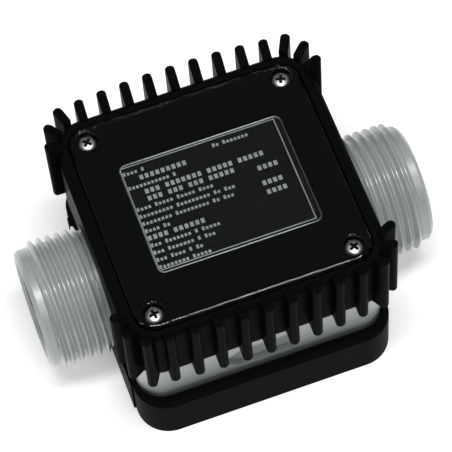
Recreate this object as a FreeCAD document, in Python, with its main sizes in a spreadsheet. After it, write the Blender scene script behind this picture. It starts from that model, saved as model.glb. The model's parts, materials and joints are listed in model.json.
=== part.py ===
"""In-line turbine flow meter with a pulse output, as a FreeCAD 1.1 macro.

A grey plastic body with two coaxial 1 inch parallel-threaded ports holds a flat-bladed rotor
between two flow straighteners.  A finned black cover closes the dry compartment with the reed
switch board, a clear lens shows the label, and a black base cover closes the underside.

Frame: X runs along the flow, Y to the back, Z up.  The origin is the middle of the base's
underside.  Every sub-part is drawn about the port axis and lifted to it by its Placement, so a
height in the sheet is measured from the port axis unless its name says otherwise.  Millimetres.
"""
import FreeCAD, Part
import math
import os
import re
import Sketcher
from FreeCAD import Placement, Rotation, Vector

# ---------------------------------------------------------------------------------------------
# Driving dimensions: alias, value in millimetres (or degrees, or a count), what it is
# ---------------------------------------------------------------------------------------------
DIMENSIONS = [
    ("axis_height", 20.0, "port axis above the floor"),
    ("press_play", 0.02, "radial play of pressed and screwed pieces"),
    # meter body
    ("end_set_back", 0.6, "body's end faces inside the cover's"),
    ("side_set_back", 1.2, "body's long faces inside the cover's"),
    ("body_corner", 7.0, "upright corner radius of the body block"),
    ("body_top", 14.0, "top of the body's spigot"),
    ("shoulder", 8.2, "shoulder that the cover's skirt comes down to"),
    # ports
    ("thread_radius", 16.62, "major radius of the 1 inch parallel thread"),
    ("root_radius", 15.15, "root radius of the thread and radius of the plain collar"),
    ("thread_relief", 2.0, "plain neck between the body and a thread"),
    ("thread_length", 13.8, "threaded stretch of a port"),
    ("collar_length", 2.8, "plain collar at the mouth of a port"),
    ("collar_bevel", 0.9, "bevelled outer edge of the collar"),
    ("mouth_chamfer", 0.8, "lead-in at the mouth of the bore"),
    # flow passage
    ("chamber_radius", 11.5, "bore round the rotor"),
    ("chamber_length", 19.0, "length of the rotor's chamber"),
    ("seat_radius", 12.25, "bore of the ports, where the straighteners seat"),
    ("ring_groove", 0.85, "depth of the retaining ring's groove"),
    ("ring_width", 1.2, "width of the retaining ring's groove"),
    ("ring_play", 0.05, "play of the retaining ring in its groove"),
    ("ring_gap", 50.0, "opening angle of the retaining ring"),
    ("ring_radial", 1.9, "radial width of the retaining ring"),
    # straighteners
    ("vane_length", 14.0, "length of a flow straightener"),
    ("straightener_wall", 1.0, "outer ring of a straightener"),
    ("vane_thickness", 1.0, "straightening vane"),
    ("vane_count", 6, "vanes in a straightener"),
    ("hub_radius", 5.0, "hub of the rotor and of the straighteners"),
    ("nose_length", 4.8, "nose of a straightener's hub, past its vanes"),
    ("nose_taper", 3.4, "taper of the hub's nose"),
    # rotor
    ("tip_gap", 0.4, "gap between the blade tips and the chamber"),
    ("blade_length", 14.0, "length of a blade along its own slope"),
    ("blade_thickness", 1.2, "thickness of a blade"),
    ("blade_pitch", 35.0, "slope of a blade against the port axis, degrees"),
    ("blade_root", 1.7, "depth to which a blade reaches into the hub, from the port axis"),
    ("blade_count", 6, "blades on the rotor"),
    ("shaft_radius", 1.0, "rotor shaft"),
    ("running_gap", 0.04, "radial running clearance of the shaft in its bushes"),
    ("end_float", 0.3, "axial float between the rotor and a bush"),
    ("bush_radius", 2.2, "bush in a straightener's hub"),
    ("bush_depth", 4.3, "bush inside the hub"),
    ("flange_radius", 3.2, "thrust flange of a bush"),
    ("flange_thick", 1.0, "thrust flange of a bush"),
    ("magnet_radius", 1.25, "magnet in the rotor's hub"),
    ("magnet_length", 3.0, "magnet in the rotor's hub"),
    ("magnet_circle", 3.1, "distance of the magnets from the axis"),
    # cover
    ("cover_length", 66.0, "cover along the flow"),
    ("cover_width", 65.2, "cover across the flow, without its fins"),
    ("cover_corner", 7.5, "upright corner radius of the cover"),
    ("skirt_end_wall", 1.5, "skirt wall at the port ends"),
    ("skirt_side_wall", 2.1, "skirt wall at the finned sides"),
    ("skirt_gap", 0.3, "gap between the skirt and the body, all ways"),
    ("ledge_top", 26.0, "top of the cover beside the lens"),
    ("ledge_bevel", 0.8, "bevel along the ledge's outer edge"),
    ("lens_sink", 2.3, "depth of the lens recess"),
    ("deck_thick", 2.7, "deck under the lens"),
    ("strip_proud", 0.7, "raised strip over each port"),
    ("strip_width", 44.0, "raised strip over each port"),
    ("arch_gap", 0.5, "gap between the ports and what is arched over them"),
    ("rim_width", 1.6, "cover's rim on the seal, inside the skirt"),
    ("boss_radius", 3.2, "screw boss inside the cover"),
    # fins
    ("fin_thick", 2.4, "thickness of a fin"),
    ("fin_crown", 0.75, "crown of a fin's outer end"),
    ("fin_proud", 4.25, "middle fin beyond the cover's long face"),
    ("fin_bow", 257.0, "radius of the bow that the straight fin tips follow"),
    ("fin_rise", 4.0, "fins above the ledge"),
    ("fin_drop", 0.3, "fins below the skirt"),
    ("last_fin_inset", 8.68, "last straight fin inside the cover's end face"),
    ("fan_inset_x", 8.1, "centre of the corner fins inside the cover's end face"),
    ("fan_inset_y", 7.3, "centre of the corner fins inside the cover's long face"),
    ("fan_reach", 11.3, "tip of a corner fin from that centre"),
    ("fan_root", 7.2, "root of a corner fin from that centre"),
    ("funnel_start", 5.3, "corner radius where the fin tops rise from the ledge"),
    ("funnel_end", 9.7, "corner radius where the fin tops end"),
    # lens, its seal and the label
    ("ledge_end", 2.6, "ledge between the lens and the cover's end face"),
    ("ledge_side", 2.75, "ledge between the lens and the cover's long face"),
    ("lens_corner", 5.2, "corner radius of the lens plate"),
    ("lens_thick", 3.0, "lens plate"),
    ("lens_chamfer", 0.7, "bevelled edge of the lens plate"),
    ("lens_gap", 0.25, "gap round the lens"),
    ("lens_seal_inset", 1.5, "lens seal from the lens's edge"),
    ("lens_seal_width", 1.2, "lens seal"),
    ("lens_seal_depth", 1.0, "lens seal"),
    ("label_length", 42.5, "label plate along the flow"),
    ("label_width", 32.0, "label plate across the flow"),
    ("label_corner", 2.0, "corner radius of the label plate"),
    ("label_thick", 0.4, "label plate"),
    ("label_gap", 0.1, "gap round and over the label plate"),
    ("label_shift_x", 0.5, "centre of the label from the middle"),
    ("label_shift_y", 0.7, "centre of the label from the middle"),
    # body seal
    ("seal_inset", 0.3, "body seal from the spigot's edge"),
    ("seal_width", 1.1, "body seal"),
    ("seal_thick", 1.2, "body seal"),
    # cover screws and their inserts
    ("screw_inset_x", 4.9, "cover and base screws inside the lens's edge, along the flow"),
    ("screw_inset_y", 4.35, "cover and base screws inside the lens's edge, across the flow"),
    ("screw_radius", 1.25, "shank of a cover screw"),
    ("screw_length", 18.5, "shank of a cover screw"),
    ("screw_head", 2.15, "head radius of a cover screw"),
    ("head_height", 1.5, "head of a cover screw"),
    ("head_recess", 2.7, "recess radius round a screw head in the lens"),
    ("recess_depth", 2.2, "recess depth in the lens"),
    ("screw_gap", 0.15, "radial gap of a screw in its passing hole"),
    ("insert_radius", 2.2, "threaded brass insert"),
    ("insert_length", 5.5, "threaded brass insert"),
    ("insert_hole_depth", 13.0, "depth of the holes that hold the inserts and clear the screws' ends"),
    # base cover and its screws
    ("base_end_wall", 0.9, "end walls of the base cover, without their pads"),
    ("base_side_wall", 2.8, "long walls of the base cover"),
    ("base_corner", 8.4, "upright corner radius of the base cover"),
    ("base_height", 14.6, "base cover"),
    ("base_floor", 3.0, "floor of the base cover"),
    ("base_end_gap", 0.3, "gap between the base's end walls and the body"),
    ("base_side_gap", 1.0, "groove between the base's long walls and the body"),
    ("base_bevel", 1.2, "bevelled rim of the base cover"),
    ("pad_proud", 0.5, "raised pad on each end of the base cover"),
    ("pad_width", 51.0, "raised pad on each end of the base cover"),
    ("base_screw_radius", 1.45, "shank of a base screw"),
    ("base_screw_head", 2.75, "head radius of a base screw"),
    ("base_head_height", 1.4, "head of a base screw"),
    ("base_screw_grip", 8.0, "base screw in the body"),
    ("counterbore_depth", 1.7, "counterbore in the base cover's floor"),
    ("counterbore_gap", 0.45, "radial gap round a base screw's head"),
    # dry compartment
    ("pocket_length", 26.0, "wire pocket in the body along the flow"),
    ("pocket_width", 12.0, "wire pocket in the body across the flow"),
    ("pocket_wall", 3.9, "wall behind the wire pocket"),
    ("pocket_floor", -3.0, "floor of the wire pocket"),
    ("post_height", 2.5, "board posts on the body"),
    ("post_radius", 2.2, "board posts on the body"),
    ("post_span_x", 36.0, "board posts along the flow"),
    ("post_span_y", 42.0, "board posts across the flow"),
    ("board_margin_x", 3.5, "board beyond its posts, along the flow"),
    ("board_margin_y", 2.5, "board beyond its posts, across the flow"),
    ("board_thick", 1.2, "circuit board"),
    ("board_screw_radius", 0.95, "shank of a board screw"),
    ("board_screw_head", 1.8, "head radius of a board screw"),
    ("board_head_height", 1.1, "head of a board screw"),
    ("board_screw_grip", 5.0, "board screw in its post"),
    ("reed_radius", 1.1, "reed switch capsule"),
    ("reed_length", 14.0, "reed switch capsule"),
    ("reed_gap", 0.1, "reed switch under the board"),
    ("terminal_length", 10.2, "terminal block along the flow"),
    ("terminal_width", 7.6, "terminal block across the flow"),
    ("terminal_height", 8.6, "terminal block below the board"),
    ("terminal_setback", 1.2, "terminal block from the wire pocket's back wall"),
    # cable entry
    ("entry_radius", 3.5, "hole for the cable grommet"),
    ("entry_height", 1.5, "cable entry above the port axis"),
    ("grommet_flange", 5.0, "outer flange of the grommet"),
    ("grommet_bead", 4.2, "inner bead of the grommet"),
    ("grommet_thick", 1.4, "outer flange of the grommet"),
    ("grommet_inner", 1.2, "inner bead of the grommet"),
]

FAN_ANGLES = (30, 60, 90)       # corner fins, degrees round from the straight ones
STRAIGHT_STEPS = (0, 1, 2, 3, 4)  # straight fins on one side of the middle, in fin pitches

doc = FreeCAD.newDocument("TurbineFlowMeter")
sheet = doc.addObject("Spreadsheet::Sheet", "Sizes")
for row, (alias, value, meaning) in enumerate(DIMENSIONS, start=1):
    sheet.set(f"A{row}", meaning)
    sheet.set(f"B{row}", str(value))
    sheet.setAlias(f"B{row}", alias)
doc.recompute()
ALIASES = {alias for alias, _, _ in DIMENSIONS}


# ---------------------------------------------------------------------------------------------
# Formulas over the sheet
# ---------------------------------------------------------------------------------------------
def formula(text):
    """Write the sheet's name before every alias in a formula."""
    return re.sub(r"[a-z_]+", lambda m: f"Sizes.{m[0]}" if m[0] in ALIASES else m[0], str(text))


def amount(text):
    """The present value of a formula."""
    return float(sheet.evalExpression(formula(text)))


def bind(obj, prop, text):
    """Drive a property by a formula over the sheet."""
    obj.setExpression(prop, formula(text))


# heights and half sizes that several sub-parts share
BODY_FLOOR = "(base_floor - axis_height)"
BODY_END = "(cover_length / 2 - end_set_back)"
BODY_SIDE = "(cover_width / 2 - side_set_back)"
THREAD_START = f"({BODY_END} + thread_relief)"
THREAD_END = f"({BODY_END} + thread_relief + thread_length)"
PORT_END = f"({BODY_END} + thread_relief + thread_length + collar_length)"
SKIRT_BOTTOM = "(shoulder + skirt_gap)"
SKIRT_IN_X = "(cover_length / 2 - skirt_end_wall)"
SKIRT_IN_Y = "(cover_width / 2 - skirt_side_wall)"
SKIRT_IN_R = "(cover_corner - skirt_side_wall)"
SPIGOT_X = f"({SKIRT_IN_X} - skirt_gap)"
SPIGOT_Y = f"({SKIRT_IN_Y} - skirt_gap)"
SPIGOT_R = f"({SKIRT_IN_R} - skirt_gap)"
RIM_BOTTOM = "(body_top + seal_thick)"
RECESS_FLOOR = "(ledge_top - lens_sink)"
DECK_UNDER = "(ledge_top - lens_sink - deck_thick)"
CAVITY_X = f"({SKIRT_IN_X} - rim_width - skirt_gap)"
CAVITY_Y = f"({SKIRT_IN_Y} - rim_width - skirt_gap)"
CAVITY_R = f"({SKIRT_IN_R} - rim_width)"
LENS_X = "(cover_length / 2 - ledge_end)"
LENS_Y = "(cover_width / 2 - ledge_side)"
LENS_TOP = f"({RECESS_FLOOR} + lens_thick)"
HEAD_SEAT = f"({LENS_TOP} - recess_depth)"
BOARD_UNDER = "(body_top + post_height)"
POCKET_BACK = f"({BODY_SIDE} - pocket_wall)"
FAN_X = "(cover_length / 2 - fan_inset_x)"
FAN_Y = "(cover_width / 2 - fan_inset_y)"
BASE_X = f"({BODY_END} + base_end_gap + base_end_wall)"
BASE_Y = f"({BODY_SIDE} + base_side_gap + base_side_wall)"
RING_START = "(chamber_length / 2 + vane_length)"
HUB_END = "(chamber_length / 2 - flange_thick - end_float)"
SCREW_PITCH = (f"(2 * ({LENS_X} - screw_inset_x))", f"(2 * ({LENS_Y} - screw_inset_y))")
POST_PITCH = ("post_span_x", "post_span_y")
CORNERS = ((-1, -1), (1, -1), (1, 1), (-1, 1))


# ---------------------------------------------------------------------------------------------
# Bodies, sketches and features
# ---------------------------------------------------------------------------------------------
def new_body(label):
    """A PartDesign body whose local origin lies on the port axis."""
    body = doc.addObject("PartDesign::Body", label)
    body.Label = label
    body.Placement = Placement(Vector(0, 0, amount("axis_height")), Rotation())
    bind(body, "Placement.Base.z", "axis_height")
    return body


def origin_part(body, role):
    """One of a body's own origin planes or axes."""
    return next(item for item in body.Origin.OriginFeatures if item.Role == role)


class Outline:
    """A sketch on an origin plane whose points and radii are all bound to the sheet."""

    def __init__(self, body, name, plane, offset="0", turn="0"):
        self.sketch = body.newObject("Sketcher::SketchObject", name)
        self.sketch.AttachmentSupport = (origin_part(body, plane), [""])
        self.sketch.MapMode = "FlatFace"
        self.sketch.AttachmentOffset = Placement(
            Vector(0, 0, amount(offset)), Rotation(Vector(0, 0, 1), amount(turn)))
        bind(self.sketch, "AttachmentOffset.Base.z", offset)
        bind(self.sketch, "AttachmentOffset.Rotation.Angle", turn)

    def _datum(self, kind, *place):
        """Add a dimension, the last argument being its formula."""
        *refs, text = place
        index = self.sketch.addConstraint(Sketcher.Constraint(kind, *refs, amount(text)))
        bind(self.sketch, f"Constraints[{index}]", text)

    def _fix(self, geometry, vertex, x, y):
        """Dimension a point from the sketch's origin."""
        self._datum("DistanceX", -1, 1, geometry, vertex, x)
        self._datum("DistanceY", -1, 1, geometry, vertex, y)

    def _join(self, kind, first, first_end, second, second_end):
        self.sketch.addConstraint(Sketcher.Constraint(kind, first, first_end, second, second_end))

    def polygon(self, points):
        """A closed outline of straight edges through points given as pairs of formulas."""
        places = [Vector(amount(x), amount(y), 0) for x, y in points]
        lines = [self.sketch.addGeometry(Part.LineSegment(here, places[(i + 1) % len(places)]))
                 for i, here in enumerate(places)]
        for i, line in enumerate(lines):
            self._join("Coincident", line, 2, lines[(i + 1) % len(lines)], 1)
            self._fix(line, 1, *points[i])
        return self

    def circle(self, radius, x="0", y="0"):
        """A full circle."""
        centre = Vector(amount(x), amount(y), 0)
        index = self.sketch.addGeometry(Part.Circle(centre, Vector(0, 0, 1), amount(radius)))
        self._fix(index, 3, x, y)
        self._datum("Radius", index, radius)
        return self

    def box(self, half_x, half_y, x="0", y="0"):
        """A rectangle about a centre."""
        return self.polygon([(f"({x}) + {sx} * ({half_x})", f"({y}) + {sy} * ({half_y})")
                             for sx, sy in CORNERS])

    def rounded_box(self, half_x, half_y, radius, x="0", y="0"):
        """A rectangle about a centre with four equal corner arcs."""
        flat_x, flat_y = f"({half_x} - {radius})", f"({half_y} - {radius})"
        sides = []
        for (sx, sy), (ex, ey) in zip(CORNERS, CORNERS[1:] + CORNERS[:1]):
            along_x = sy == ey
            start = (f"({x}) + {sx} * {flat_x if along_x else half_x}",
                     f"({y}) + {sy} * {half_y if along_x else flat_y}")
            end = (f"({x}) + {ex} * {flat_x if along_x else half_x}",
                   f"({y}) + {ey} * {half_y if along_x else flat_y}")
            sides.append((start, end))
        lines = []
        for start, end in sides:
            line = self.sketch.addGeometry(Part.LineSegment(
                Vector(amount(start[0]), amount(start[1]), 0),
                Vector(amount(end[0]), amount(end[1]), 0)))
            self._fix(line, 1, *start)
            self._fix(line, 2, *end)
            lines.append(line)
        for i, (sx, sy) in enumerate(CORNERS[1:] + CORNERS[:1]):
            centre = Vector(amount(f"({x}) + {sx} * {flat_x}"), amount(f"({y}) + {sy} * {flat_y}"), 0)
            circle = Part.Circle(centre, Vector(0, 0, 1), amount(radius))
            arc = self.sketch.addGeometry(Part.ArcOfCircle(
                circle, math.radians(90 * (i - 1)), math.radians(90 * i)))
            self._join("Coincident", arc, 1, lines[i], 2)
            self._join("Coincident", arc, 2, lines[(i + 1) % 4], 1)
            self._datum("Radius", arc, radius)
        return self

    def ring(self, half_x, half_y, radius, width):
        """A rounded rectangular band of one width, drawn inwards from its outer edge."""
        self.rounded_box(half_x, half_y, radius)
        return self.rounded_box(f"({half_x} - {width})", f"({half_y} - {width})",
                                f"({radius} - {width})")

    def finger(self, root, tip, direction, thick, crown):
        """A bar with a crowned tip, from a root point to a tip point along a unit direction."""
        (rx, ry), (tx, ty), (dx, dy) = root, tip, direction
        half = f"({thick} / 2)"
        places = {}
        for side, sign in (("left", -1), ("right", 1)):
            shift = (f"{sign} * {half} * ({dy})", f"{-sign} * {half} * ({dx})")
            places[side] = ((f"({rx}) + {shift[0]}", f"({ry}) + {shift[1]}"),
                            (f"({tx}) - {crown} * ({dx}) + {shift[0]}",
                             f"({ty}) - {crown} * ({dy}) + {shift[1]}"))
        point = {side: [Vector(amount(x), amount(y), 0) for x, y in ends]
                 for side, ends in places.items()}
        end = Vector(amount(tx), amount(ty), 0)
        right = self.sketch.addGeometry(Part.LineSegment(*point["right"]))
        left = self.sketch.addGeometry(Part.LineSegment(*reversed(point["left"])))
        back = self.sketch.addGeometry(Part.LineSegment(point["left"][0], point["right"][0]))
        arc = self.sketch.addGeometry(Part.Arc(point["right"][1], end, point["left"][1]))
        self._fix(right, 1, *places["right"][0])
        self._fix(right, 2, *places["right"][1])
        self._fix(left, 1, *places["left"][1])
        self._fix(left, 2, *places["left"][0])
        self._join("Coincident", back, 1, left, 2)
        self._join("Coincident", back, 2, right, 1)
        ends = (right, 2), (left, 1)
        start = self.sketch.getPoint(arc, 1)
        if (start - point["right"][1]).Length > (start - point["left"][1]).Length:
            ends = ends[::-1]
        self._join("Coincident", arc, 1, *ends[0])
        self._join("Coincident", arc, 2, *ends[1])
        self._datum("Radius", arc, f"({half} ^ 2 + {crown} ^ 2) / (2 * {crown})")
        return self


def feature(body, kind, name, **settings):
    """Add a PartDesign feature to a body and set its plain properties."""
    item = body.newObject(f"PartDesign::{kind}", name)
    for prop, value in settings.items():
        setattr(item, prop, value)
    return item


def settle(body, item, grows):
    """Recompute, make the feature the tip and make sure that it added or removed material."""
    before = item.BaseFeature.Shape.Volume if item.BaseFeature else 0.0
    body.Tip = item
    doc.recompute()
    if not item.isValid() or item.Shape.isNull():
        raise RuntimeError(f"{body.Label}: {item.Label} failed: {item.getStatusString()}")
    change = item.Shape.Volume - before
    if (change > 0) != grows:
        raise RuntimeError(f"{body.Label}: {item.Label} changed the volume by {change:.3f}")
    return item


def pad(body, name, outline, length, middle=False):
    """Grow an outline along its plane's normal, or by half its length each way."""
    item = feature(body, "Pad", name, Profile=(outline.sketch, [""]), Length=amount(length),
                   SideType="Symmetric" if middle else "One side")
    bind(item, "Length", length)
    return settle(body, item, grows=True)


def pocket(body, name, outline, depth, ahead=False, middle=False):
    """Cut an outline against its plane's normal, ahead along it, or half its depth each way."""
    item = feature(body, "Pocket", name, Profile=(outline.sketch, [""]), Length=amount(depth),
                   Reversed=ahead, SideType="Symmetric" if middle else "One side")
    bind(item, "Length", depth)
    return settle(body, item, grows=False)


def turned(body, kind, name, outline, axis, angle="360", middle=False):
    """Revolve an outline about a local axis: kind is Revolution or Groove."""
    item = feature(body, kind, name, Profile=(outline.sketch, [""]),
                   ReferenceAxis=(origin_part(body, axis), [""]), Angle=amount(angle),
                   Midplane=middle)
    bind(item, "Angle", angle)
    return settle(body, item, grows=kind == "Revolution")


def edge_finish(body, kind, name, size, wanted):
    """Fillet or chamfer the edges of the present shape that pass a test."""
    base = body.Tip
    names = [f"Edge{i}" for i, edge in enumerate(base.Shape.Edges, start=1) if wanted(edge)]
    if not names:
        raise RuntimeError(f"{body.Label}: {name} found no edge")
    item = feature(body, kind, name, Base=(base, names))
    prop = "Radius" if kind == "Fillet" else "Size"
    setattr(item, prop, amount(size))
    bind(item, prop, size)
    return settle(body, item, grows=False)


def flat_at(height):
    """A test for edges that lie level at a height."""
    def test(edge):
        box = edge.BoundBox
        return abs(box.ZMin - amount(height)) < 1e-4 and box.ZLength < 1e-4
    return test


def disc_at(position, radius):
    """A test for full circles about the X axis at a position and of a radius."""
    def test(edge):
        curve = edge.Curve
        return (isinstance(curve, Part.Circle) and edge.isClosed()
                and abs(abs(curve.Center.x) - amount(position)) < 1e-4
                and abs(curve.Radius - amount(radius)) < 1e-4)
    return test


def mirrored_both_ways(body, name, original):
    """Repeat a feature of the front right quarter in the other three."""
    multi = feature(body, "MultiTransform", name, Originals=[original])
    planes = []
    for plane in ("YZ_Plane", "XZ_Plane"):
        mirror = body.newObject("PartDesign::Mirrored", f"{name}{plane[:2]}")
        mirror.MirrorPlane = (origin_part(body, plane), [""])
        planes.append(mirror)
    multi.Transformations = planes
    return settle(body, multi, grows=True)


def round_the_axis(body, name, original, count):
    """Repeat a feature evenly about the port axis."""
    item = feature(body, "PolarPattern", name, Originals=[original],
                   Axis=(origin_part(body, "X_Axis"), [""]), Angle=360,
                   Occurrences=int(amount(count)))
    bind(item, "Occurrences", count)
    return settle(body, item, grows=True)


def at_corners(outline, radius, pitch):
    """Four circles on a rectangle of a pitch along and across the flow."""
    along, across = pitch
    for sx, sy in CORNERS:
        outline.circle(radius, f"{sx} * {along} / 2", f"{sy} * {across} / 2")
    return outline


# ---------------------------------------------------------------------------------------------
# Wetted side: body, straighteners, bushes, rings
# ---------------------------------------------------------------------------------------------
def make_meter_body():
    """The grey moulding: block, spigot, two ports, flow passage and dry compartment floor."""
    body = new_body("meter_body")
    pad(body, "Block", Outline(body, "BlockPlan", "XY_Plane", BODY_FLOOR)
        .rounded_box(BODY_END, BODY_SIDE, "body_corner"), f"shoulder - {BODY_FLOOR}")
    pad(body, "Spigot", Outline(body, "SpigotPlan", "XY_Plane", "shoulder")
        .rounded_box(SPIGOT_X, SPIGOT_Y, SPIGOT_R), "body_top - shoulder")
    for side in (1, -1):
        name = "Outlet" if side > 0 else "Inlet"
        stretches = (("Neck", "root_radius", SPIGOT_X, THREAD_START),
                     ("Thread", "thread_radius", THREAD_START, THREAD_END),
                     ("Collar", "root_radius", THREAD_END, PORT_END))
        for stretch, radius, near, far in stretches:
            circle = Outline(body, f"{name}{stretch}Circle", "YZ_Plane",
                             near if side > 0 else f"-{far}").circle(radius)
            pad(body, f"{name}{stretch}", circle, f"{far} - {near}")
    edge_finish(body, "Chamfer", "CollarBevel", "collar_bevel", disc_at(PORT_END, "root_radius"))
    pocket(body, "Chamber", Outline(body, "ChamberCircle", "YZ_Plane")
           .circle("chamber_radius"), "chamber_length + vane_length", middle=True)
    for side in (1, -1):
        name = "Outlet" if side > 0 else "Inlet"
        groove = "seat_radius + ring_groove"
        mouth = "seat_radius + mouth_chamfer"
        profile = [("chamber_length / 2", "0"), ("chamber_length / 2", "seat_radius"),
                   (RING_START, "seat_radius"), (RING_START, groove),
                   (f"{RING_START} + ring_width", groove),
                   (f"{RING_START} + ring_width", "seat_radius"),
                   (f"{PORT_END} - mouth_chamfer", "seat_radius"), (PORT_END, mouth),
                   (f"{PORT_END} + 1", mouth), (f"{PORT_END} + 1", "0")]
        outline = Outline(body, f"{name}BoreProfile", "XZ_Plane")
        outline.polygon([(f"{side} * ({x})", r) for x, r in profile])
        turned(body, "Groove", f"{name}Bore", outline, "X_Axis")
    pocket_middle = f"{POCKET_BACK} - pocket_width / 2"
    pocket(body, "WirePocket", Outline(body, "WirePocketPlan", "XY_Plane", "body_top")
           .box("pocket_length / 2", "pocket_width / 2", y=pocket_middle),
           "body_top - pocket_floor")
    pocket(body, "CableEntry", Outline(body, "CableEntryCircle", "XZ_Plane", f"1 - {POCKET_BACK}")
           .circle("entry_radius", y="entry_height"), "pocket_wall + 2")
    pad(body, "BoardPosts", at_corners(Outline(body, "BoardPostPlan", "XY_Plane", "body_top"),
                                       "post_radius", POST_PITCH), "post_height")
    holes = (("PostHoles", BOARD_UNDER, "board_screw_radius + press_play", POST_PITCH,
              "board_screw_grip + 1", False),
             ("InsertHoles", "body_top", "insert_radius + press_play", SCREW_PITCH,
              "insert_hole_depth", False),
             ("BaseScrewHoles", BODY_FLOOR, "base_screw_radius + press_play", SCREW_PITCH,
              "base_screw_grip + 1", True))
    for name, level, radius, pitch, depth, ahead in holes:
        outline = at_corners(Outline(body, f"{name}Plan", "XY_Plane", level), radius, pitch)
        pocket(body, name, outline, depth, ahead=ahead)
    return body


def make_straightener(label, side):
    """A ring with radial vanes and a nosed hub, inlet (-1) or outlet (+1)."""
    body = new_body(label)
    inner, outer = "chamber_length / 2", f"{RING_START}"
    ring_outer = "(seat_radius - ring_play)"
    ring_inner = f"({ring_outer} - straightener_wall)"
    ring = [(inner, ring_inner), (outer, ring_inner), (outer, ring_outer), (inner, ring_outer)]
    turned(body, "Revolution", "OuterRing", Outline(body, "RingProfile", "XZ_Plane")
           .polygon([(f"{side} * {x}", r) for x, r in ring]), "X_Axis")
    start = inner if side > 0 else f"-{outer}"
    root = "(hub_radius - vane_thickness / 2)"
    tip = f"({ring_inner} + straightener_wall / 2)"
    vane = pad(body, "Vane", Outline(body, "VaneSection", "YZ_Plane", start)
               .box("vane_thickness / 2", f"({tip} - {root}) / 2", y=f"({tip} + {root}) / 2"),
               "vane_length")
    round_the_axis(body, "Vanes", vane, "vane_count")
    bore = "(bush_radius + press_play)"
    floor = "(chamber_length / 2 + bush_depth + end_float)"
    nose = f"({RING_START} + nose_length)"
    hub = [(inner, bore), (floor, bore), (floor, "0"), (nose, "0"), (nose, "hub_radius"),
           (inner, "hub_radius")]
    turned(body, "Revolution", "Hub", Outline(body, "HubProfile", "XZ_Plane")
           .polygon([(f"{side} * {x}", r) for x, r in hub]), "X_Axis")
    edge_finish(body, "Chamfer", "Nose", "nose_taper", disc_at(nose, "hub_radius"))
    return body


def make_bush(label, side):
    """A flanged bush pressed into a straightener's hub."""
    body = new_body(label)
    bore = "(shaft_radius + running_gap)"
    seat = "(chamber_length / 2)"
    profile = [(f"{seat} - flange_thick", bore), (f"{seat} + bush_depth", bore),
               (f"{seat} + bush_depth", "bush_radius"), (seat, "bush_radius"),
               (seat, "flange_radius"), (f"{seat} - flange_thick", "flange_radius")]
    turned(body, "Revolution", "Bush", Outline(body, "BushProfile", "XZ_Plane")
           .polygon([(f"{side} * ({x})", r) for x, r in profile]), "X_Axis")
    return body


def make_retaining_ring(label, side):
    """A spring ring in the bore's groove, open at the bottom, that holds a straightener."""
    body = new_body(label)
    start = f"({RING_START} + ring_play)"
    end = f"({RING_START} + ring_width - ring_play)"
    outer = "(seat_radius + ring_groove - ring_play)"
    inner = f"({outer} - ring_radial)"
    turned(body, "Revolution", "Ring", Outline(body, "RingSection", "XZ_Plane")
           .polygon([(f"{side} * {x}", r) for x, r in
                     ((start, inner), (end, inner), (end, outer), (start, outer))]),
           "X_Axis", angle="360 - ring_gap", middle=True)
    return body


# ---------------------------------------------------------------------------------------------
# Rotor
# ---------------------------------------------------------------------------------------------
def make_rotor():
    """The turbine: a bored hub with flat blades set at a pitch and turned to size at the tips."""
    body = new_body("rotor")
    bore = "(shaft_radius + press_play)"
    turned(body, "Revolution", "Hub", Outline(body, "HubProfile", "XZ_Plane")
           .polygon([(f"-{HUB_END}", bore), (HUB_END, bore), (HUB_END, "hub_radius"),
                     (f"-{HUB_END}", "hub_radius")]), "X_Axis")
    blade = pad(body, "Blade", Outline(body, "BladePlan", "XY_Plane", "blade_root", "blade_pitch")
                .box("blade_length / 2", "blade_thickness / 2"), "chamber_radius - blade_root")
    round_the_axis(body, "Blades", blade, "blade_count")
    tip = "(chamber_radius - tip_gap)"
    turned(body, "Groove", "TipTurning", Outline(body, "TipProfile", "XZ_Plane")
           .polygon([(f"-{HUB_END}", tip), (HUB_END, tip), (HUB_END, "2 * chamber_radius"),
                     (f"-{HUB_END}", "2 * chamber_radius")]), "X_Axis")
    pockets = Outline(body, "MagnetCircles", "YZ_Plane", HUB_END)
    for sign in (-1, 1):
        pockets.circle("magnet_radius + press_play", y=f"{sign} * magnet_circle")
    pocket(body, "MagnetPockets", pockets, "magnet_length")
    return body


def make_rotor_shaft():
    """The steel shaft fixed in the rotor."""
    body = new_body("rotor_shaft")
    reach = "(chamber_length / 2 + bush_depth - end_float)"
    pad(body, "Shaft", Outline(body, "ShaftCircle", "YZ_Plane").circle("shaft_radius"),
        f"2 * {reach}", middle=True)
    edge_finish(body, "Chamfer", "Ends", "shaft_radius / 4", disc_at(reach, "shaft_radius"))
    return body


def make_rotor_magnets():
    """The two magnets in the rotor's hub that work the reed switch."""
    body = new_body("rotor_magnets")
    outline = Outline(body, "MagnetCircles", "YZ_Plane", f"{HUB_END} - magnet_length")
    for sign in (-1, 1):
        outline.circle("magnet_radius", y=f"{sign} * magnet_circle")
    pad(body, "Magnets", outline, "magnet_length")
    return body


# ---------------------------------------------------------------------------------------------
# Cover side: seal, finned cover, lens, label, screws
# ---------------------------------------------------------------------------------------------
def port_arches(body, start, end):
    """Cut a body's end walls round both ports, from one distance along the flow to another."""
    for side in (1, -1):
        name = "Outlet" if side > 0 else "Inlet"
        outline = Outline(body, f"{name}ArchCircle", "YZ_Plane", f"{side} * ({end})")
        outline.circle("thread_radius + arch_gap")
        pocket(body, f"{name}Arch", outline, f"({end}) - ({start})", ahead=side < 0)


def make_body_seal():
    """The flat rubber seal on top of the spigot."""
    body = new_body("body_seal")
    pad(body, "Seal", Outline(body, "SealPlan", "XY_Plane", "body_top")
        .ring(f"({SPIGOT_X} - seal_inset)", f"({SPIGOT_Y} - seal_inset)",
              f"({SPIGOT_R} - seal_inset)", "seal_width"), "seal_thick")
    return body


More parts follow.
